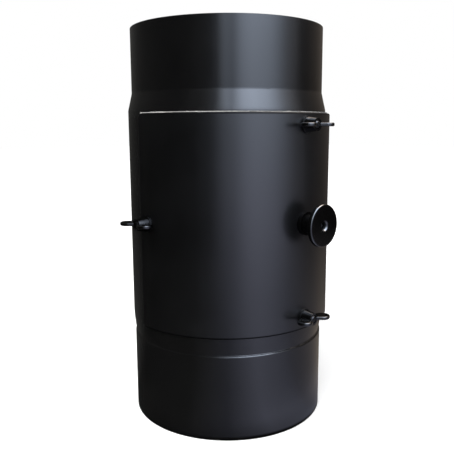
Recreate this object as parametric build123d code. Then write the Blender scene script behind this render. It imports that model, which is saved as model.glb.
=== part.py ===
from build123d import *
import math
import os

# Stove pipe section with an inspection door and a drawn-out ceramic filter.
# Millimetres, +Z up along the pipe, origin at the centre of the lower rim, door facing -Y.

# Pipe, from the lower rim upwards: the sleeve takes another pipe's spigot, and the body swells over both
spigot_outer_d = 148.0
wall = 2.0
body_swell = 3.0
socket_clearance = 0.1
sleeve_wall = 2.0
sleeve_height = 64.6
sleeve_rim_round = 1.3
seat_shoulder = 0.5
seat_depth = 8.0
seat_clearance = 0.1
foot_step = 0.6
taper_height = 19.4
body_height = 155.0
cone_height = 13.0
spigot_height = 48.0
bend_radius = 4.0
rim_round = 0.6

# Door and gasket
door_sheet = 2.0
door_top_gap = 2.5
door_foot_overlap = 5.3
door_flange = 8.4
door_corner = 4.0
door_edge_round = 1.4
gasket_thickness = 1.2
gasket_clearance = 0.3
gasket_width = 14.0
gasket_inset = 1.0
gasket_top_proud = 0.6

# Window in the body behind the door
window_half_angle = 79.0
window_margin = 22.0
window_corner = 12.0
gasket_window_angle = 3.0

# Studs, washers and wing nuts, M6
stud_d = 6.0
stud_reach = 10.0
stud_end_chamfer = 0.8
stud_top_distance = 8.5
stud_foot_distance = 9.8
middle_rise = 0.6
stud_hole_clearance = 0.3
weld_collar_d = 8.4
weld_collar_height = 1.0
collar_clearance = 0.4
washer_d = 12.4
washer_thickness = 1.6
washer_bore_clearance = 0.2
washer_seat_gap = 0.05
nut_bore_clearance = 0.05
nut_boss_base_d = 11.0
nut_boss_top_d = 9.0
nut_boss_height = 8.0
wing_span = 31.2
wing_height = 13.4
wing_thickness = 2.6
wing_lobe_r = 5.6
wing_root_r = 3.2
wing_edge_round = 0.9

# Knob and the M4 stud through it
knob_d = 30.5
knob_reach = 17.3
knob_edge = 3.6
knob_neck_d = 13.0
knob_base_d = 17.0
knob_base_height = 2.5
knob_face_round = 1.2
knob_back_round = 0.8
knob_neck_round = 3.0
countersink_d = 7.8
countersink_depth = 1.9
knob_stud_d = 4.0
knob_stud_hole_clearance = 0.2
knob_stud_sink = 3.0
knob_stud_chamfer = 0.5
knob_stud_end = 1.0
knob_washer_d = 9.0
knob_washer_thickness = 0.8
knob_nut_flats = 7.0
knob_nut_height = 3.2

# Filter, standing on a ring welded in the body
filter_ring_clearance = 0.1
support_ring_height = 8.0
support_ring_sheet = 2.0
support_ring_width = 11.0
support_lift = 0.5
can_side_gap = 5.0
can_head_gap = 11.0
can_sheet = 1.0
can_lip = 5.0
mat_thickness = 2.0
spacer_height = 3.0
spacer_width = 4.0
cell_opening = 9.4
cell_wall = 1.2
block_rim = 2.0

# Radii and heights that follow from the sizes above
spigot_r = spigot_outer_d / 2
body_r = spigot_r + body_swell
body_inner_r = body_r - wall
socket_r = spigot_r + socket_clearance
neck_r = socket_r + seat_shoulder
foot_r = neck_r + foot_step
sleeve_outer_r = socket_r + sleeve_wall
neck_z = sleeve_height - seat_depth
foot_z = sleeve_height + seat_clearance
taper_top_z = sleeve_height + taper_height
cone_z = taper_top_z + body_height
spigot_z = cone_z + cone_height
top_z = spigot_z + spigot_height

gasket_inner_r = body_r + gasket_clearance
door_inner_r = gasket_inner_r + gasket_thickness
door_outer_r = door_inner_r + door_sheet
door_z0 = taper_top_z - door_foot_overlap
door_z1 = cone_z - door_top_gap
door_mid_z = (door_z0 + door_z1) / 2
fixing_z = door_mid_z + middle_rise
window_z0 = door_z0 + window_margin
window_z1 = door_z1 - window_margin

stud_r = stud_d / 2
knob_stud_r = knob_stud_d / 2
knob_seat = math.sqrt(door_inner_r**2 - (knob_washer_d / 2) ** 2) - door_outer_r
support_z = window_z0 + support_lift
can_r = body_inner_r - can_side_gap
can_inner_r = can_r - can_sheet
can_z1 = window_z1 - can_head_gap
block_r = can_inner_r - mat_thickness
block_z0 = support_z + can_sheet
block_z1 = can_z1 - can_sheet
block_height = (block_z1 - block_z0 - spacer_height) / 2

# Each fixing: a plane on the door's face, Z outwards and X level, for the stud, washer and wing nut
fixings = {
    "top": Plane((0, -door_outer_r, door_z1 - stud_top_distance), (1, 0, 0), (0, -1, 0)),
    "bottom": Plane((0, -door_outer_r, door_z0 + stud_foot_distance), (1, 0, 0), (0, -1, 0)),
    "left": Plane((-door_outer_r, 0, fixing_z), (0, -1, 0), (-1, 0, 0)),
    "right": Plane((door_outer_r, 0, fixing_z), (0, 1, 0), (1, 0, 0)),
}
knob_plane = Plane((0, -door_outer_r, fixing_z), (1, 0, 0), (0, -1, 0))
upright = (Align.CENTER, Align.CENTER, Align.MIN)
touching = 0.001


def rod(r, z0, z1):
    return Pos(0, 0, z0) * Cylinder(r, z1 - z0, align=upright)


def ring(outer_r, inner_r, z0, z1):
    return rod(outer_r, z0, z1) - rod(inner_r, z0, z1)


def front_sector(r, half_angle, z0, z1):
    pie = Cylinder(r, z1 - z0, arc_size=2 * half_angle, align=(Align.NONE, Align.NONE, Align.MIN))
    return Pos(0, 0, z0) * Rot(0, 0, -90 - half_angle) * pie


def cut_window(shell, half_angle, z0, z1, corner):
    # a rounded rectangle wrapped round the pipe: two crossing sectors and a round drill at each corner
    reach = door_outer_r + door_sheet
    corner_angle = math.degrees(corner / body_r)
    shell -= front_sector(reach, half_angle, z0 + corner, z1 - corner)
    shell -= front_sector(reach, half_angle - corner_angle, z0, z1)
    for side in (-1, 1):
        for z in (z0 + corner, z1 - corner):
            turn = Rot(0, 0, side * (half_angle - corner_angle))
            shell -= Pos(0, 0, z) * turn * Rot(90, 0, 0) * rod(corner, 0, reach)
    return shell


def trough(r, back, z0, z1):
    # a half disc with straight sides that run back past the pipe's widest line
    half = Circle(r) & (Pos(0, -r / 2) * Rectangle(2 * r, r))
    section = half + Pos(0, back / 2) * Rectangle(2 * r, back)
    return Pos(0, 0, z0) * extrude(section, z1 - z0)


def drill_fixings(shell, r, depth):
    # round holes at top and bottom, slots open to the back edge at the two sides
    for name, plane in fixings.items():
        shell -= plane.location * rod(r, -depth, depth)
        if name in ("left", "right"):
            shell -= Pos(plane.origin + (0, door_flange, 0)) * Box(2 * depth, 2 * door_flange, 2 * r)
    return shell


def rims_at(turned, z):
    rounds = turned.edges().filter_by(GeomType.CIRCLE)
    return [e for e in rounds if abs(e.center().Z - z) < touching]


def outer_rim(turned, z):
    return max(rims_at(turned, z), key=lambda e: e.radius)


def pipe_body():
    # the taper ends in a small jog, over the sleeve's rim
    outer_taper = TangentArc((body_r, taper_top_z), (foot_r, foot_z), tangent=(0, -1))
    inner_taper = Pos(-wall, 0) * outer_taper
    upper = Polyline(
        (body_r, taper_top_z),
        (body_r, cone_z),
        (spigot_r, spigot_z),
        (spigot_r, top_z),
        (spigot_r - wall, top_z),
        (spigot_r - wall, spigot_z),
        (body_inner_r, cone_z),
        (body_inner_r, taper_top_z),
    )
    neck = Polyline(
        (foot_r, foot_z),
        (neck_r, foot_z),
        (neck_r, neck_z),
        (neck_r - wall, neck_z),
        (neck_r - wall, foot_z),
        (foot_r - wall, foot_z),
    )
    section = make_face([*upper.edges(), *neck.edges(), *outer_taper.edges(), *inner_taper.edges()])
    pipe = revolve(Plane.XZ * section, Axis.Z)
    pipe = fillet(rims_at(pipe, cone_z) + rims_at(pipe, spigot_z), bend_radius)
    return cut_window(pipe, window_half_angle, window_z0, window_z1, window_corner)


def lower_sleeve():
    # the body's neck stands on a shoulder turned in the sleeve's mouth
    sleeve = ring(sleeve_outer_r, socket_r, 0, sleeve_height)
    sleeve -= rod(neck_r + seat_clearance, neck_z, sleeve_height)
    sleeve = fillet(outer_rim(sleeve, 0), rim_round)
    return fillet(outer_rim(sleeve, sleeve_height), sleeve_rim_round)


def on_outer_rim(edge):
    # an edge round the door's outer face, but not the line where the curve runs into a flange
    middle = edge.center()
    on_flange = abs(abs(middle.X) - door_outer_r) < touching
    on_curve = edge.geom_type == GeomType.CIRCLE and abs(edge.radius - door_outer_r) < touching
    at_tangent = abs(middle.Y) < touching and abs(middle.Z - door_mid_z) < touching
    return (on_flange or on_curve) and not at_tangent


def door():
    sheet = trough(door_outer_r, door_flange, door_z0, door_z1)
    sheet -= trough(door_inner_r, door_flange, door_z0, door_z1)
    sheet = fillet(sheet.edges().filter_by(Axis.X), door_corner)
    sheet = fillet([e for e in sheet.edges() if on_outer_rim(e)], door_edge_round)
    sheet = drill_fixings(sheet, stud_r + stud_hole_clearance, 2 * door_sheet)
    hole_r = knob_stud_r + knob_stud_hole_clearance
    return sheet - knob_plane.location * rod(hole_r, -2 * door_sheet, door_sheet)


def door_gasket():
    z0 = door_z0 + gasket_inset
    z1 = door_z1 + gasket_top_proud
    back = door_flange - gasket_inset
    frame = trough(door_inner_r, back, z0, z1) - trough(gasket_inner_r, back, z0, z1)
    half_angle = window_half_angle + gasket_window_angle
    frame = cut_window(frame, half_angle, door_z0 + gasket_width, door_z1 - gasket_width, window_corner)
    return drill_fixings(frame, weld_collar_d / 2 + collar_clearance, door_outer_r - body_r)


def stud(plane):
    # the foot is cut to the pipe's curve, where it is welded on
    foot = body_r - door_outer_r
    shank = rod(stud_r, foot - wall, stud_reach)
    shank = chamfer(shank.edges().sort_by(Axis.Z)[-1], stud_end_chamfer)
    collar = rod(weld_collar_d / 2, foot - wall, foot + weld_collar_height)
    return plane.location * (shank + collar) - rod(body_r, 0, top_z)


def washer(plane):
    z0 = washer_seat_gap
    return plane.location * ring(washer_d / 2, stud_r + washer_bore_clearance, z0, z0 + washer_thickness)


def wing():
    # an ear that widens from the boss to a round lobe, up and out
    root = Pos(wing_root_r, wing_root_r) * Circle(wing_root_r)
    lobe = Pos(wing_span / 2 - wing_lobe_r, wing_height - wing_lobe_r) * Circle(wing_lobe_r)
    ear = make_hull([*root.edges(), *lobe.edges()])
    plate = Pos(0, wing_thickness / 2) * extrude(Plane.XZ * ear, wing_thickness)
    return fillet(plate.edges().group_by(Axis.Y)[0] + plate.edges().group_by(Axis.Y)[-1], wing_edge_round)


def wing_nut(plane):
    boss = Cone(nut_boss_base_d / 2, nut_boss_top_d / 2, nut_boss_height, align=upright)
    ear = wing()
    nut = boss + ear + Rot(0, 0, 180) * ear
    nut -= rod(stud_r + nut_bore_clearance, -wing_height, 2 * wing_height)
    return plane.location * Pos(0, 0, washer_seat_gap + washer_thickness) * nut


def knob():
    neck_top = knob_reach - knob_edge
    section = Polyline(
        (0, -door_sheet),
        (knob_base_d / 2, -door_sheet),
        (knob_base_d / 2, knob_base_height),
        (knob_neck_d / 2, knob_base_height),
        (knob_neck_d / 2, neck_top),
        (knob_d / 2, neck_top),
        (knob_d / 2, knob_reach),
        (0, knob_reach),
        close=True,
    )
    turned = revolve(Plane.XZ * make_face(section), Axis.Z)
    turned = fillet([e for e in rims_at(turned, neck_top) if e.radius < knob_base_d / 2], knob_neck_round)
    turned = fillet(outer_rim(turned, knob_reach), knob_face_round)
    turned = fillet(outer_rim(turned, neck_top), knob_back_round)
    bore_r = knob_stud_r + nut_bore_clearance
    turned -= rod(bore_r, -door_sheet, knob_reach)
    sink = Cone(bore_r, countersink_d / 2, countersink_depth, align=upright)
    turned -= Pos(0, 0, knob_reach - countersink_depth) * sink
    return knob_plane.location * turned - rod(door_outer_r, door_z0, door_z1)


def knob_stud():
    end = knob_seat - knob_washer_thickness - knob_nut_height - knob_stud_end
    shank = rod(knob_stud_r, end, knob_reach - knob_stud_sink)
    return knob_plane.location * chamfer(shank.edges().filter_by(GeomType.CIRCLE), knob_stud_chamfer)


def knob_washer():
    bore_r = knob_stud_r + knob_stud_hole_clearance
    return knob_plane.location * ring(knob_washer_d / 2, bore_r, knob_seat - knob_washer_thickness, knob_seat)


def knob_nut():
    z0 = knob_seat - knob_washer_thickness - knob_nut_height
    hexagon = RegularPolygon(knob_nut_flats / 2, 6, major_radius=False)
    nut = Pos(0, 0, z0) * extrude(hexagon, knob_nut_height)
    return knob_plane.location * (nut - rod(knob_stud_r + nut_bore_clearance, z0, 0))


def filter_support_ring():
    outer_r = body_inner_r - filter_ring_clearance
    shelf = ring(outer_r, outer_r - support_ring_width, support_z - support_ring_sheet, support_z)
    return shelf + ring(outer_r, outer_r - support_ring_sheet, support_z - support_ring_height, support_z)


def filter_can():
    can = ring(can_r, can_inner_r - can_lip, support_z, can_z1)
    return can - rod(can_inner_r, block_z0, block_z1)


def filter_mat():
    return ring(can_inner_r, block_r, block_z0, block_z1)


def filter_spacer_ring():
    z0 = block_z0 + block_height
    return ring(block_r, block_r - spacer_width, z0, z0 + spacer_height)


def filter_block(z0):
    # square through cells on a grid, those at the edge cut short by a solid rim
    pitch = cell_opening + cell_wall
    core_r = block_r - block_rim
    count = math.floor(core_r / pitch)
    steps = [pitch * i for i in range(-count, count + 1)]
    spots = [(x, y) for x in steps for y in steps if math.hypot(x, y) < core_r]
    cells = Sketch() + [Pos(x, y) * Rectangle(cell_opening, cell_opening) for x, y in spots]
    return Pos(0, 0, z0) * extrude(Circle(block_r) - (cells & Circle(core_r)), block_height)


nodes = {
    "pipe_body": pipe_body(),
    "lower_sleeve": lower_sleeve(),
    "door": door(),
    "door_gasket": door_gasket(),
    "knob": knob(),
    "knob_stud": knob_stud(),
    "knob_washer": knob_washer(),
    "knob_nut": knob_nut(),
    "filter_support_ring": filter_support_ring(),
    "filter_can": filter_can(),
    "filter_mat": filter_mat(),
    "filter_spacer_ring": filter_spacer_ring(),
    "filter_block_lower": filter_block(block_z0),
    "filter_block_upper": filter_block(block_z1 - block_height),
}
for name, plane in fixings.items():
    nodes["stud_" + name] = stud(plane)
    nodes["washer_" + name] = washer(plane)
    nodes["wing_nut_" + name] = wing_nut(plane)

os.makedirs("parts", exist_ok=True)
for name, shape in nodes.items():
    export_step(shape, "parts/" + name + ".step")
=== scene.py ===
import math

import bpy
from mathutils import Matrix, Vector


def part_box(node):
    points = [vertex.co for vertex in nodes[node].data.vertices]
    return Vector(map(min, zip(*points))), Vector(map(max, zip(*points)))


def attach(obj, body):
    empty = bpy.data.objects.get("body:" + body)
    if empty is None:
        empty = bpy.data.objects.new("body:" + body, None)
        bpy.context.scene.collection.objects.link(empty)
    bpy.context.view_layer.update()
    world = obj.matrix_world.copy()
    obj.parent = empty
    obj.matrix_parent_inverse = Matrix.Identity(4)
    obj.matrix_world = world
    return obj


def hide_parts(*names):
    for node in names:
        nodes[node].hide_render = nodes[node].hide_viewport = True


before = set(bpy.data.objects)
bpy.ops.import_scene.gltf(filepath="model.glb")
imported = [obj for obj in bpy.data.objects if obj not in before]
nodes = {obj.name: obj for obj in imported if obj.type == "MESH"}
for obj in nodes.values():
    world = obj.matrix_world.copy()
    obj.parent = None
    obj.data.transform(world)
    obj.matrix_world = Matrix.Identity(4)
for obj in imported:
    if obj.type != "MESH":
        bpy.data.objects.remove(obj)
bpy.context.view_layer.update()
print("frame loaded,", len(nodes), "nodes")


# node helpers

def addNode(tree, kind, inputs=None, **settings):
    made = tree.nodes.new(kind)
    for name, value in settings.items():
        setattr(made, name, value)
    for name, value in (inputs or {}).items():
        if isinstance(value, bpy.types.NodeSocket):
            tree.links.new(value, made.inputs[name])
        else:
            made.inputs[name].default_value = value
    return made


def addMath(tree, operation, first, second=0.0, clamp=False):
    made = addNode(tree, "ShaderNodeMath", {0: first, 1: second}, operation=operation, use_clamp=clamp)
    return made.outputs[0]


def addMix(tree, factor, first, second, blend="MIX"):
    made = addNode(tree, "ShaderNodeMix", data_type="RGBA", blend_type=blend)
    for name, value in (("Factor_Float", factor), ("A_Color", first), ("B_Color", second)):
        socket = next(s for s in made.inputs if s.identifier == name)
        if isinstance(value, bpy.types.NodeSocket):
            tree.links.new(value, socket)
        else:
            socket.default_value = value
    return next(s for s in made.outputs if s.identifier == "Result_Color")


def addRange(tree, value, low, high, toLow=0.0, toHigh=1.0):
    made = addNode(tree, "ShaderNodeMapRange",
                   {"Value": value, "From Min": low, "From Max": high, "To Min": toLow, "To Max": toHigh})
    return made.outputs["Result"]


def fillRamp(made, stops):
    ramp = made.color_ramp
    while len(ramp.elements) > 1:
        ramp.elements.remove(ramp.elements[-1])
    ramp.elements[0].position, ramp.elements[0].color = stops[0][0], stops[0][1]
    for place, colour in stops[1:]:
        ramp.elements.new(place).color = colour


def newGroup(name, inputs, outputs):
    group = bpy.data.node_groups.new(name, "ShaderNodeTree")
    for socketName, kind, value in inputs:
        socket = group.interface.new_socket(socketName, in_out="INPUT", socket_type=kind)
        socket.default_value = value
    for socketName, kind in outputs:
        group.interface.new_socket(socketName, in_out="OUTPUT", socket_type=kind)
    return group, group.nodes.new("NodeGroupInput"), group.nodes.new("NodeGroupOutput")


def useGroup(tree, group, inputs=None):
    made = tree.nodes.new("ShaderNodeGroup")
    made.node_tree = group
    for name, value in (inputs or {}).items():
        if isinstance(value, bpy.types.NodeSocket):
            tree.links.new(value, made.inputs[name])
        else:
            made.inputs[name].default_value = value
    return made


# shared surface effects

grainShape = {"fineDetail": 3.0, "fineRoughness": 0.55, "patchDetail": 4.0, "patchRoughness": 0.6,
              "streakScale": (260.0, 260.0, 5.0), "streakDetail": 2.0, "low": 0.3, "high": 0.7}


def makeGrainGroup():
    low, high = grainShape["low"], grainShape["high"]
    group, entry, leave = newGroup(
        "grain",
        [("Scale", "NodeSocketFloat", 900.0), ("Depth", "NodeSocketFloat", 0.00002),
         ("Patch Scale", "NodeSocketFloat", 30.0)],
        [("Normal", "NodeSocketVector"), ("Patch", "NodeSocketFloat"), ("Fine", "NodeSocketFloat"),
         ("Streak", "NodeSocketFloat")])
    place = addNode(group, "ShaderNodeTexCoord")
    fine = addNode(group, "ShaderNodeTexNoise",
                   {"Vector": place.outputs["Object"], "Scale": entry.outputs["Scale"],
                    "Detail": grainShape["fineDetail"], "Roughness": grainShape["fineRoughness"]})
    patch = addNode(group, "ShaderNodeTexNoise",
                    {"Vector": place.outputs["Object"], "Scale": entry.outputs["Patch Scale"],
                     "Detail": grainShape["patchDetail"], "Roughness": grainShape["patchRoughness"]})
    upright = addNode(group, "ShaderNodeMapping",
                      {"Vector": place.outputs["Object"], "Scale": grainShape["streakScale"]})
    streak = addNode(group, "ShaderNodeTexNoise",
                     {"Vector": upright.outputs["Vector"], "Scale": 1.0, "Detail": grainShape["streakDetail"]})
    bump = addNode(group, "ShaderNodeBump",
                   {"Strength": 1.0, "Distance": entry.outputs["Depth"], "Height": fine.outputs[0]})
    group.links.new(addRange(group, streak.outputs[0], low, high), leave.inputs["Streak"])
    group.links.new(bump.outputs["Normal"], leave.inputs["Normal"])
    group.links.new(addRange(group, patch.outputs[0], low, high), leave.inputs["Patch"])
    group.links.new(addRange(group, fine.outputs[0], low, high), leave.inputs["Fine"])
    return group


# flat and sharp are how far the rounded normal agrees with the plain one
edgeShape = {"samples": 4, "flat": 0.995, "sharp": 0.88, "breakScale": 160.0, "breakDetail": 5.0,
             "breakLow": 0.42, "breakHigh": 0.62}


def makeEdgeGroup():
    group, entry, leave = newGroup(
        "edgeRub",
        [("Radius", "NodeSocketFloat", 0.0008), ("Amount", "NodeSocketFloat", 1.0)],
        [("Edge", "NodeSocketFloat")])
    rounded = addNode(group, "ShaderNodeBevel", {"Radius": entry.outputs["Radius"]},
                      samples=edgeShape["samples"])
    plain = addNode(group, "ShaderNodeNewGeometry")
    turned = addNode(group, "ShaderNodeVectorMath",
                     {0: rounded.outputs["Normal"], 1: plain.outputs["Normal"]}, operation="DOT_PRODUCT")
    edge = addRange(group, turned.outputs["Value"], edgeShape["flat"], edgeShape["sharp"])
    place = addNode(group, "ShaderNodeTexCoord")
    breaks = addNode(group, "ShaderNodeTexNoise",
                     {"Vector": place.outputs["Object"], "Scale": edgeShape["breakScale"],
                      "Detail": edgeShape["breakDetail"]})
    gaps = addRange(group, breaks.outputs[0], edgeShape["breakLow"], edgeShape["breakHigh"])
    broken = addMath(group, "MULTIPLY", edge, gaps)
    group.links.new(addMath(group, "MULTIPLY", broken, entry.outputs["Amount"]), leave.inputs["Edge"])
    return group


grainGroup = makeGrainGroup()
edgeGroup = makeEdgeGroup()


def newMaterial(name):
    made = bpy.data.materials.new(name)
    made.use_nodes = True
    tree = made.node_tree
    return made, tree, tree.nodes["Principled BSDF"]


def addPlace(tree):
    place = addNode(tree, "ShaderNodeTexCoord")
    return addNode(tree, "ShaderNodeSeparateXYZ", {"Vector": place.outputs["Object"]}).outputs


# where the cloudiness of the paint starts and ends
cloudLow, cloudHigh = 0.2, 0.8


def paintMaterial(look):
    made, tree, surface = newMaterial(look["name"])
    grain = useGroup(tree, grainGroup, {"Scale": look["peelScale"], "Depth": look["peelDepth"],
                                        "Patch Scale": look["patchScale"]})
    edge = useGroup(tree, edgeGroup, {"Radius": look["edgeRadius"], "Amount": look["edgeAmount"]})
    worn = addMix(tree, edge.outputs["Edge"],
                  addMix(tree, grain.outputs["Patch"], look["dark"], look["pale"]), look["worn"])
    both = addMath(tree, "ADD", grain.outputs["Patch"], grain.outputs["Streak"])
    cloud = addMath(tree, "MULTIPLY", both, 0.5)
    rough = addRange(tree, cloud, cloudLow, cloudHigh, *look["rough"])
    tree.links.new(worn, surface.inputs["Base Color"])
    tree.links.new(rough, surface.inputs["Roughness"])
    tree.links.new(grain.outputs["Normal"], surface.inputs["Normal"])
    surface.inputs["Specular IOR Level"].default_value = look["gloss"]
    if "dullAndShadeBands" in look:
        # painted shade: gloss is taken away in bands, so the door's top and bottom edges and the sleeve's foot
        # show dark lines of shade and the knob's neck and the back of its disc sink into shade; the knob's face
        # is dulled as well
        parts = addPlace(tree)
        dull = 0.0
        for axis, start, end, amount, coarse in look["dullAndShadeBands"]:
            dull = addMath(tree, "MAXIMUM", dull, addRange(tree, parts[axis], start, end, 0.0, amount))
            rough = addMath(tree, "MAXIMUM", rough, addRange(tree, parts[axis], start, end, 0.0, coarse))
        gloss = addRange(tree, dull, 0.0, 1.0, look["gloss"], 0.0)
        tree.links.new(rough, surface.inputs["Roughness"])
        tree.links.new(gloss, surface.inputs["Specular IOR Level"])
    if "swell" in look:
        # shading only: the strip above the door leans as if the cone's bend ended under the door
        swellFoot, swellTop, swellOut = look["swell"]
        lean = addRange(tree, addPlace(tree)["Z"], swellFoot, swellTop, swellOut, 0.0)
        bent = addNode(tree, "ShaderNodeBump", {"Strength": 1.0, "Distance": 1.0, "Height": lean,
                                                "Normal": grain.outputs["Normal"]})
        tree.links.new(bent.outputs["Normal"], surface.inputs["Normal"])
    return made


def metalMaterial(look):
    made, tree, surface = newMaterial(look["name"])
    grain = useGroup(tree, grainGroup, {"Scale": look["grainScale"], "Depth": look["grainDepth"],
                                        "Patch Scale": look["patchScale"]})
    tint = addMix(tree, grain.outputs["Patch"], look["dark"], look["pale"])
    rough = addRange(tree, grain.outputs["Fine"], 0.0, 1.0, *look["rough"])
    surface.inputs["Metallic"].default_value = 1.0
    tree.links.new(tint, surface.inputs["Base Color"])
    tree.links.new(rough, surface.inputs["Roughness"])
    tree.links.new(grain.outputs["Normal"], surface.inputs["Normal"])
    return made


fibreShape = {"grain": {"Scale": 1500.0, "Depth": 0.0001, "Patch Scale": 60.0},
              "detail": 6.0, "roughness": 0.65, "streak": (0.35, 0.65), "grime": (0.35, 0.85),
              "rough": 0.95, "gloss": 0.2}


def fibreMaterial(look):
    made, tree, surface = newMaterial(look["name"])
    place = addNode(tree, "ShaderNodeTexCoord")
    strands = addNode(tree, "ShaderNodeMapping",
                      {"Vector": place.outputs["Object"], "Scale": look["strandScale"]})
    fibre = addNode(tree, "ShaderNodeTexNoise",
                    {"Vector": strands.outputs["Vector"], "Scale": 1.0, "Detail": fibreShape["detail"],
                     "Roughness": fibreShape["roughness"]})
    grain = useGroup(tree, grainGroup, fibreShape["grain"])
    streak = addRange(tree, fibre.outputs[0], *fibreShape["streak"])
    patches = addRange(tree, grain.outputs["Patch"], *fibreShape["grime"])
    grime = addMath(tree, "MULTIPLY", patches, look["grime"])
    tint = addMix(tree, grime, addMix(tree, streak, look["dark"], look["pale"]), look["grimeTint"])
    bump = addNode(tree, "ShaderNodeBump",
                   {"Strength": 1.0, "Distance": look["depth"], "Height": fibre.outputs[0],
                    "Normal": grain.outputs["Normal"]})
    surface.inputs["Roughness"].default_value = fibreShape["rough"]
    surface.inputs["Specular IOR Level"].default_value = fibreShape["gloss"]
    tree.links.new(tint, surface.inputs["Base Color"])
    tree.links.new(bump.outputs["Normal"], surface.inputs["Normal"])
    return made


def ceramicMaterial(look):
    made, tree, surface = newMaterial(look["name"])
    grain = useGroup(tree, grainGroup, look["grain"])
    tint = addMix(tree, grain.outputs["Patch"], look["dark"], look["pale"])
    surface.inputs["Roughness"].default_value = look["rough"]
    surface.inputs["Specular IOR Level"].default_value = look["gloss"]
    tree.links.new(tint, surface.inputs["Base Color"])
    tree.links.new(grain.outputs["Normal"], surface.inputs["Normal"])
    return made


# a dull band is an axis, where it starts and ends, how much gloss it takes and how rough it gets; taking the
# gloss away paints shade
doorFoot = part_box("door")[0].z
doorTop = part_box("door")[1].z
# the body's dull band paints a dark line of shade along the sleeve's foot
bodyLook = {"name": "bodyPaint", "dark": (0.0016, 0.0016, 0.0017, 1), "pale": (0.0028, 0.0028, 0.0029, 1),
            "worn": (0.02, 0.02, 0.021, 1), "rough": (0.20, 0.24), "gloss": 0.5, "peelScale": 700.0,
            "peelDepth": 0.000012, "patchScale": 24.0, "edgeRadius": 0.0008, "edgeAmount": 0.6,
            "dullAndShadeBands": [("Z", 0.0035, 0.0018, 1.0, 0.5)],
            "swell": (doorTop - 0.002, doorTop + 0.0028, 0.0006)}
# the door's dull bands paint dark lines of shade along its top and bottom edges
doorLook = {"name": "doorPaint", "dark": (0.0015, 0.0015, 0.0016, 1), "pale": (0.0027, 0.0027, 0.0029, 1),
            "worn": (0.02, 0.02, 0.021, 1), "rough": (0.285, 0.32), "gloss": 0.5, "peelScale": 800.0,
            "peelDepth": 0.000014, "patchScale": 30.0, "edgeRadius": 0.0008, "edgeAmount": 0.6,
            "dullAndShadeBands": [("Z", doorTop - 0.0016, doorTop - 0.0011, 0.9, 0.45),
                          ("Z", doorFoot + 0.0018, doorFoot + 0.0010, 0.97, 0.45)]}
fixingLook = {"name": "fixingBlack", "dark": (0.0008, 0.0008, 0.0009, 1), "pale": (0.0016, 0.0016, 0.0017, 1),
              "worn": (0.03, 0.03, 0.032, 1), "rough": (0.05, 0.09), "gloss": 0.45, "peelScale": 1600.0,
              "peelDepth": 0.000003, "patchScale": 120.0, "edgeRadius": 0.0005, "edgeAmount": 0.5}
washerLook = {"name": "washerBlack", "dark": (0.0008, 0.0008, 0.0009, 1), "pale": (0.0016, 0.0016, 0.0017, 1),
              "worn": (0.02, 0.02, 0.021, 1), "rough": (0.34, 0.42), "gloss": 0.3, "peelScale": 1600.0,
              "peelDepth": 0.00002, "patchScale": 120.0, "edgeRadius": 0.0004, "edgeAmount": 0.3}
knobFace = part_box("knob")[0].y
# the knob's first dull band paints its neck and the back of its disc into shade, the second dulls its face
knobLook = {"name": "knobBlack", "dark": (0.0007, 0.0007, 0.0007, 1), "pale": (0.0012, 0.0012, 0.0012, 1),
            "worn": (0.02, 0.02, 0.021, 1), "rough": (0.07, 0.10), "gloss": 0.72, "peelScale": 1100.0,
            "peelDepth": 0.000003, "patchScale": 70.0, "edgeRadius": 0.0005, "edgeAmount": 0.2,
            "dullAndShadeBands": [("Y", knobFace + 0.0008, knobFace + 0.0012, 0.94, 0.45),
                          ("Y", knobFace + 0.0003, knobFace + 0.0001, 0.68, 0.0)]}
studLook = {"name": "studSteel", "dark": (0.016, 0.016, 0.017, 1), "pale": (0.036, 0.036, 0.037, 1),
            "rough": (0.30, 0.44), "grainScale": 2400.0, "grainDepth": 0.00002, "patchScale": 220.0}
screwLook = {"name": "screwSteel", "dark": (0.10, 0.10, 0.105, 1), "pale": (0.20, 0.20, 0.205, 1),
             "rough": (0.22, 0.34), "grainScale": 2600.0, "grainDepth": 0.00001, "patchScale": 260.0}
platedLook = {"name": "platedSteel", "dark": (0.48, 0.48, 0.46, 1), "pale": (0.66, 0.65, 0.60, 1),
              "rough": (0.26, 0.40), "grainScale": 2200.0, "grainDepth": 0.00001, "patchScale": 180.0}
innerLook = {"name": "innerSteel", "dark": (0.07, 0.068, 0.066, 1), "pale": (0.15, 0.145, 0.14, 1),
             "rough": (0.42, 0.60), "grainScale": 900.0, "grainDepth": 0.00003, "patchScale": 40.0}
canLook = {"name": "canSteel", "dark": (0.44, 0.43, 0.41, 1), "pale": (0.60, 0.59, 0.57, 1),
           "rough": (0.24, 0.36), "grainScale": 1300.0, "grainDepth": 0.00001, "patchScale": 26.0}
gasketLook = {"name": "gasketFibre", "dark": (0.26, 0.255, 0.245, 1), "pale": (0.70, 0.69, 0.66, 1),
              "strandScale": (900.0, 900.0, 260.0), "depth": 0.0002, "grime": 0.75,
              "grimeTint": (0.12, 0.115, 0.11, 1)}
matLook = {"name": "matFibre", "dark": (0.50, 0.47, 0.40, 1), "pale": (0.74, 0.71, 0.64, 1),
           "strandScale": (500.0, 500.0, 500.0), "depth": 0.0003, "grime": 0.25,
           "grimeTint": (0.35, 0.32, 0.27, 1)}
ceramicLook = {"name": "honeycombCeramic", "dark": (0.50, 0.45, 0.37, 1), "pale": (0.63, 0.58, 0.49, 1),
               "rough": 0.85, "gloss": 0.3, "grain": {"Scale": 1200.0, "Depth": 0.00008, "Patch Scale": 45.0}}

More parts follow.
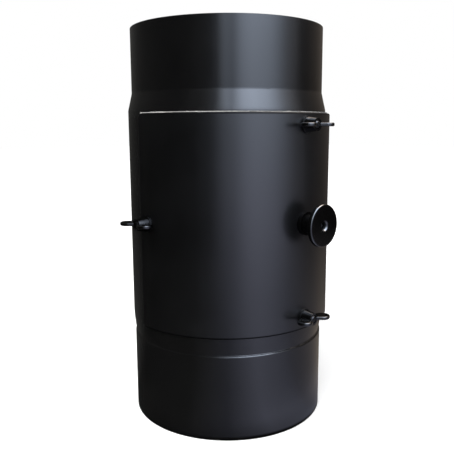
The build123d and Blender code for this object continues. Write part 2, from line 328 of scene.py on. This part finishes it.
slotMaterials = {
    "body_paint": paintMaterial(bodyLook),
    "door_paint": paintMaterial(doorLook),
    "fixing_black": paintMaterial(fixingLook),
    "knob_black": paintMaterial(knobLook),
    "stud_steel": metalMaterial(studLook),
    "screw_steel": metalMaterial(screwLook),
    "plated_steel": metalMaterial(platedLook),
    "inner_steel": metalMaterial(innerLook),
    "can_steel": metalMaterial(canLook),
    "gasket_fibre": fibreMaterial(gasketLook),
    "mat_fibre": fibreMaterial(matLook),
    "honeycomb_ceramic": ceramicMaterial(ceramicLook),
}
for node in nodes.values():
    slotName = node.data.materials[0].name
    node.material_slots[0].link = "OBJECT"
    node.material_slots[0].material = slotMaterials[slotName]
washerPaint = paintMaterial(washerLook)
for side in ("top", "bottom", "left", "right"):
    nodes["washer_" + side].material_slots[0].material = washerPaint
print("materials set")


# modelled pieces

def editWhere(piece, test):
    # leaves the piece in edit mode with the vertices that pass the test selected
    bpy.ops.object.mode_set(mode="EDIT")
    bpy.ops.mesh.select_mode(type="VERT")
    bpy.ops.mesh.select_all(action="DESELECT")
    bpy.ops.object.mode_set(mode="OBJECT")
    for corner in piece.data.vertices:
        corner.select = test(corner.co)
    bpy.ops.object.mode_set(mode="EDIT")


def joinPieces(pieces, name):
    bpy.ops.object.select_all(action="DESELECT")
    for piece in pieces:
        piece.select_set(True)
    bpy.context.view_layer.objects.active = pieces[0]
    bpy.ops.object.join()
    pieces[0].name = name
    return pieces[0]


studShape = {"core": 0.00255, "crest": 0.00298, "ridge": 0.0005, "pitch": 0.001, "collar": 0.0042,
             "collarHeight": 0.0011, "tipChamfer": 0.0007, "threadStart": 0.002, "steps": 28,
             "smooth": math.radians(35)}
nearby = 0.0001


def makeStud(nodeName, outward):
    low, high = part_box(nodeName)
    length = abs((high - low).dot(outward))
    foot = (low + high) / 2 - outward * length / 2
    bpy.ops.object.select_all(action="DESELECT")
    bpy.ops.mesh.primitive_cylinder_add(vertices=studShape["steps"], radius=studShape["core"], depth=length,
                                        location=(0, 0, length / 2))
    shank = bpy.context.object
    bpy.ops.object.transform_apply(location=True)
    editWhere(shank, lambda place: place.z > length - nearby)
    bpy.ops.mesh.bevel(offset=studShape["tipChamfer"], segments=1)
    bpy.ops.object.mode_set(mode="OBJECT")
    bpy.ops.mesh.primitive_cylinder_add(vertices=studShape["steps"], radius=studShape["collar"],
                                        depth=studShape["collarHeight"],
                                        location=(0, 0, studShape["collarHeight"] / 2))
    collar = bpy.context.object
    editWhere(collar, lambda place: place.z > 0)
    bpy.ops.mesh.bevel(offset=studShape["collarHeight"] / 3, segments=3)
    bpy.ops.object.mode_set(mode="OBJECT")
    ridgeSpot = (studShape["crest"] - studShape["ridge"], 0, studShape["threadStart"])
    bpy.ops.mesh.primitive_circle_add(vertices=3, radius=studShape["ridge"], fill_type="NOTHING",
                                      location=ridgeSpot, rotation=(math.pi / 2, math.pi / 2, 0))
    ridge = bpy.context.object
    bpy.ops.object.transform_apply(location=True, rotation=True)
    screw = ridge.modifiers.new("thread", "SCREW")
    screw.screw_offset = studShape["pitch"]
    threadLength = length - studShape["threadStart"] - studShape["tipChamfer"]
    screw.iterations = int(threadLength / studShape["pitch"]) - 1
    screw.steps = screw.render_steps = studShape["steps"]
    bpy.ops.object.modifier_apply(modifier="thread")
    bpy.ops.object.mode_set(mode="EDIT")
    bpy.ops.mesh.select_all(action="SELECT")
    bpy.ops.mesh.normals_make_consistent(inside=False)
    bpy.ops.object.mode_set(mode="OBJECT")
    stud = joinPieces([shank, collar, ridge], nodeName + "_threaded")
    bpy.ops.object.transform_apply(location=True)
    stud.rotation_euler = outward.to_track_quat("Z", "Y").to_euler()
    stud.location = foot
    bpy.ops.object.transform_apply(location=True, rotation=True)
    bpy.ops.object.shade_smooth_by_angle(angle=studShape["smooth"])
    stud.data.materials.clear()
    stud.data.materials.append(slotMaterials["stud_steel"])
    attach(stud, "pipe")
    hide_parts(nodeName)


fringeShape = {"steps": 720, "height": 0.0012, "inset": 0.0006, "ragged": 0.0003, "seed": 4,
               "thickness": 0.0009, "smooth": math.radians(50)}


def makeFringe():
    # loose fibre along the gasket's top edge
    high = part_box("door_gasket")[1]
    bpy.ops.object.select_all(action="DESELECT")
    bpy.ops.mesh.primitive_cylinder_add(vertices=fringeShape["steps"], radius=high.x - fringeShape["inset"],
                                        depth=fringeShape["height"], end_fill_type="NOTHING",
                                        location=(0, 0, high.z - fringeShape["height"] / 2))
    fringe = bpy.context.object
    fringe.name = "gasket_fringe"
    bpy.ops.object.transform_apply(location=True)
    editWhere(fringe, lambda place: place.y > nearby)
    bpy.ops.mesh.delete(type="VERT")
    bpy.ops.object.mode_set(mode="OBJECT")
    editWhere(fringe, lambda place: place.z > high.z - fringeShape["height"] / 2)
    bpy.ops.transform.vertex_random(offset=fringeShape["ragged"], seed=fringeShape["seed"])
    bpy.ops.object.mode_set(mode="OBJECT")
    thick = fringe.modifiers.new("thick", "SOLIDIFY")
    thick.thickness = fringeShape["thickness"]
    thick.offset = 0.0
    bpy.ops.object.modifier_apply(modifier="thick")
    bpy.ops.object.shade_smooth_by_angle(angle=fringeShape["smooth"])
    fringe.data.materials.append(slotMaterials["gasket_fibre"])
    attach(fringe, "inspection_door")


seamShape = {"outside": 0.0013, "thickness": 0.0006, "steps": 256, "ringSteps": 12}


def makeSeam():
    # paint that fills the joint between the taper and the sleeve
    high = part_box("lower_sleeve")[1]
    bpy.ops.object.select_all(action="DESELECT")
    bpy.ops.mesh.primitive_torus_add(major_radius=high.x - seamShape["outside"],
                                     minor_radius=seamShape["thickness"], major_segments=seamShape["steps"],
                                     minor_segments=seamShape["ringSteps"], location=(0, 0, high.z))
    seam = bpy.context.object
    seam.name = "sleeve_seam"
    bpy.ops.object.transform_apply(location=True)
    bpy.ops.object.shade_smooth()
    seam.data.materials.append(slotMaterials["body_paint"])
    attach(seam, "pipe")


makeSeam()
studSides = {"top": (0, -1, 0), "bottom": (0, -1, 0), "left": (-1, 0, 0), "right": (1, 0, 0)}
for side, outward in studSides.items():
    makeStud("stud_" + side, Vector(outward))
makeFringe()
print("pieces modelled")


# camera

cameraView = {"azimuth": math.radians(-44.0), "distance": 0.4774, "height": 0.2259,
              "pitch": math.radians(80.5), "roll": math.radians(-0.262), "lens": 46.93, "sensor": 36.0,
              "shiftX": -0.0005, "near": 0.01}

azimuth = cameraView["azimuth"]
bpy.ops.object.camera_add(location=(math.sin(azimuth) * cameraView["distance"],
                                    -math.cos(azimuth) * cameraView["distance"], cameraView["height"]))
camera = bpy.context.object
camera.name = "camera"
turn = (Matrix.Rotation(azimuth, 3, "Z") @ Matrix.Rotation(cameraView["pitch"], 3, "X")
        @ Matrix.Rotation(cameraView["roll"], 3, "Z"))
camera.rotation_euler = turn.to_euler()
camera.data.lens = cameraView["lens"]
camera.data.sensor_width = cameraView["sensor"]
camera.data.shift_x = cameraView["shiftX"]
camera.data.clip_start = cameraView["near"]
bpy.context.scene.camera = camera


# floor, reflection tent, lamps and world

# the floor glows a little to the camera, more so away from the part, so that the ground stays white
floorLook = {"size": 12.0, "drop": 0.0002, "paperScale": 8.0, "paperDetail": 3.0, "dark": (0.80, 0.80, 0.80, 1),
             "pale": (0.84, 0.84, 0.84, 1), "near": 0.25, "far": 1.2, "nearGlow": 0.45, "farGlow": 1.0}


def makeFloor(look):
    bpy.ops.mesh.primitive_plane_add(size=look["size"], location=(0, 0, -look["drop"]))
    floor = bpy.context.object
    floor.name = "floor"
    made, tree, surface = newMaterial("floorPaper")
    path = addNode(tree, "ShaderNodeLightPath")
    place = addNode(tree, "ShaderNodeTexCoord")
    paper = addNode(tree, "ShaderNodeTexNoise",
                    {"Vector": place.outputs["Object"], "Scale": look["paperScale"],
                     "Detail": look["paperDetail"]})
    tint = addMix(tree, paper.outputs[0], look["dark"], look["pale"])
    tree.links.new(tint, surface.inputs["Base Color"])
    surface.inputs["Roughness"].default_value = 1.0
    surface.inputs["Specular IOR Level"].default_value = 0.0
    surface.inputs["Emission Color"].default_value = (1, 1, 1, 1)
    away = addNode(tree, "ShaderNodeVectorMath", {0: place.outputs["Object"]}, operation="LENGTH")
    glow = addRange(tree, away.outputs["Value"], look["near"], look["far"], look["nearGlow"], look["farGlow"])
    seen = addMath(tree, "MULTIPLY", path.outputs["Is Camera Ray"], glow)
    tree.links.new(seen, surface.inputs["Emission Strength"])
    floor.data.materials.append(made)


# wall, floor and top stops are the tent's brightness by direction, in degrees to the camera's right
# rise stops are how it grows with height, spread stops how the floor's grows away from the part, in metres; the
# spread stops dip at the part's foot, a painted shadow of the part on the floor it reflects
tentLook = {
    "radius": 1.0, "height": 1.3, "foot": 0.002, "sides": 128, "level": 7.0,
    "cool": (0.86, 0.98, 1.2, 1), "warm": (1.18, 1.0, 0.86, 1), "plain": (1.03, 1.02, 0.97, 1),
    "coolLow": (0.93, 0.97, 1.27, 1), "warmTurn": (60, 120), "plainTurn": (0, -35), "lowBlend": (0.24, 0.10),
    "wallStart": 0.003, "floorBlend": 0.25, "topBlend": (0.95, 1.15),
    "riseStops": [(0.0, 0.26), (0.25, 0.39), (0.45, 0.58), (0.75, 1.2), (1.0, 1.5), (1.3, 3.0)],
    "topStops": [(-180, 0.02), (-60, 0.01), (-20, 0.015), (0, 0.1), (22, 0.55), (55, 0.68), (76, 0.6),
                 (90, 0.9), (105, 0.9), (120, 0.25), (150, 0.2), (170, 0.05), (180, 0.02)],
    "spreadStops": [(0.08, 0.088), (0.1, 0.145), (0.15, 0.13), (0.24, 0.15), (0.45, 0.155), (0.7, 0.2),
                    (1.0, 0.27)],
    "wallStops": [(-180, 0.6), (-174, 0.4), (-170, 0.0), (-166, 0.0), (-150, 0.026), (-100, 0.013),
                  (-60, 0.002), (-34, 0.011), (-19, 0.031), (-11, 0.027), (-6, 0.285), (-1, 0.58),
                  (6, 0.245), (16, 0.87), (28, 1.04), (48, 0.875), (70, 0.26), (93, 0.023),
                  (123, 0.036), (150, 0.042), (166, 0.0), (170, 0.0), (174, 0.4), (180, 0.6)],
    "floorStops": [(-180, 0.6), (-174, 0.4), (-170, 0.0), (-166, 0.0), (-150, 0.04), (-125, 0.08),
                   (-98, 0.022), (-34, 0.07), (0, 0.32), (16, 0.76), (28, 1.1), (48, 0.8), (70, 0.38),
                   (93, 0.31), (123, 0.29), (145, 0.1), (166, 0.0), (170, 0.0), (174, 0.4), (180, 0.6)],
}


def tentMaterial(look):
    made = bpy.data.materials.new("tentGlow")
    made.use_nodes = True
    tree = made.node_tree
    tree.nodes.clear()
    place = addNode(tree, "ShaderNodeTexCoord")
    faced = addNode(tree, "ShaderNodeMapping",
                    {"Vector": place.outputs["Object"], "Rotation": (0, 0, math.radians(90) - azimuth)})
    parts = addNode(tree, "ShaderNodeSeparateXYZ", {"Vector": faced.outputs["Vector"]})
    angle = addMath(tree, "ARCTAN2", parts.outputs["Y"], parts.outputs["X"])
    turnPart = addRange(tree, angle, -math.pi, math.pi)
    ramps = []
    for stops in (look["wallStops"], look["floorStops"], look["topStops"]):
        ramp = addNode(tree, "ShaderNodeValToRGB", {"Fac": turnPart})
        fillRamp(ramp, [((degrees + 180) / 360, (value, value, value, 1)) for degrees, value in stops])
        ramps.append(ramp.outputs["Color"])
    across = addNode(tree, "ShaderNodeVectorMath", {0: faced.outputs["Vector"]}, operation="LENGTH")
    outward = addRange(tree, across.outputs["Value"], look["floorBlend"], look["radius"])
    rise = addNode(tree, "ShaderNodeValToRGB",
                   {"Fac": addRange(tree, parts.outputs["Z"], 0.0, look["height"])})
    fillRamp(rise, [(height / look["height"], (value, value, value, 1)) for height, value in look["riseStops"]])
    isWall = addMath(tree, "GREATER_THAN", parts.outputs["Z"], look["wallStart"])
    # the floor's level by distance, dipping at the part's foot as a painted shadow
    spread = addNode(tree, "ShaderNodeValToRGB", {"Fac": across.outputs["Value"]})
    fillRamp(spread, [(distance, (value, value, value, 1)) for distance, value in look["spreadStops"]])
    level = addMix(tree, isWall, spread.outputs["Color"], rise.outputs["Color"])
    ramped = addMix(tree, addMath(tree, "MAXIMUM", isWall, outward), ramps[1], ramps[0])
    ramped = addMix(tree, addRange(tree, parts.outputs["Z"], *look["topBlend"]), ramped, ramps[2])
    warm = addRange(tree, angle, *(math.radians(degrees) for degrees in look["warmTurn"]))
    plain = addRange(tree, angle, *(math.radians(degrees) for degrees in look["plainTurn"]))
    cool = addMix(tree, addRange(tree, parts.outputs["Z"], *look["lowBlend"]), look["cool"], look["coolLow"])
    hue = addMix(tree, plain, addMix(tree, warm, cool, look["warm"]), look["plain"])
    tint = addMix(tree, 1.0, ramped, hue, "MULTIPLY")
    glow = addMix(tree, 1.0, tint, level, "MULTIPLY")
    emit = addNode(tree, "ShaderNodeEmission", {"Color": glow, "Strength": look["level"]})
    addNode(tree, "ShaderNodeOutputMaterial", {"Surface": emit.outputs["Emission"]})
    return made


def makeTent(look):
    # seen in reflections only
    bpy.ops.mesh.primitive_cylinder_add(vertices=look["sides"], radius=look["radius"], depth=look["height"],
                                        end_fill_type="NGON",
                                        location=(0, 0, look["height"] / 2 + look["foot"]))
    tent = bpy.context.object
    tent.name = "tent"
    bpy.ops.object.transform_apply(location=True)
    tent.data.materials.append(tentMaterial(look))
    tent.visible_camera = False
    tent.visible_diffuse = False
    tent.visible_transmission = False
    tent.visible_shadow = False


lampAim = Vector((0, 0, 0.15))
lampLooks = [
    {"name": "windowLamp", "side": -25.0, "away": 1.3, "up": 1.2, "size": 1.0, "watts": 26.0},
    {"name": "topLamp", "side": 0.0, "away": 0.2, "up": 1.7, "size": 1.2, "watts": 16.0},
    {"name": "leftLamp", "side": -70.0, "away": 1.4, "up": 0.9, "size": 0.9, "watts": 5.0},
]


def makeLamp(look):
    bearing = azimuth - math.radians(90) + math.radians(look["side"])
    spot = (math.cos(bearing) * look["away"], math.sin(bearing) * look["away"], look["up"])
    bpy.ops.object.light_add(type="AREA", location=spot)
    lamp = bpy.context.object
    lamp.name = look["name"]
    lamp.data.size = look["size"]
    lamp.data.energy = look["watts"]
    aim = lampAim - lamp.location
    lamp.rotation_euler = aim.to_track_quat("-Z", "Y").to_euler()
    lamp.visible_camera = False
    lamp.visible_glossy = False


worldLook = {"colour": (1, 1, 1, 1), "fill": 0.30, "seen": 1.0}


def makeWorld(look):
    world = bpy.data.worlds.new("studio")
    bpy.context.scene.world = world
    world.use_nodes = True
    tree = world.node_tree
    path = addNode(tree, "ShaderNodeLightPath")
    seen = addMath(tree, "ADD", path.outputs["Is Camera Ray"], path.outputs["Is Glossy Ray"])
    seen = addMath(tree, "ADD", seen, path.outputs["Is Transmission Ray"], clamp=True)
    sky = tree.nodes["Background"]
    sky.inputs["Color"].default_value = look["colour"]
    tree.links.new(addRange(tree, seen, 0.0, 1.0, look["fill"], look["seen"]), sky.inputs["Strength"])


makeFloor(floorLook)
makeTent(tentLook)
for lampLook in lampLooks:
    makeLamp(lampLook)
makeWorld(worldLook)
bpy.context.scene.view_settings.view_transform = "Standard"
print("studio set")
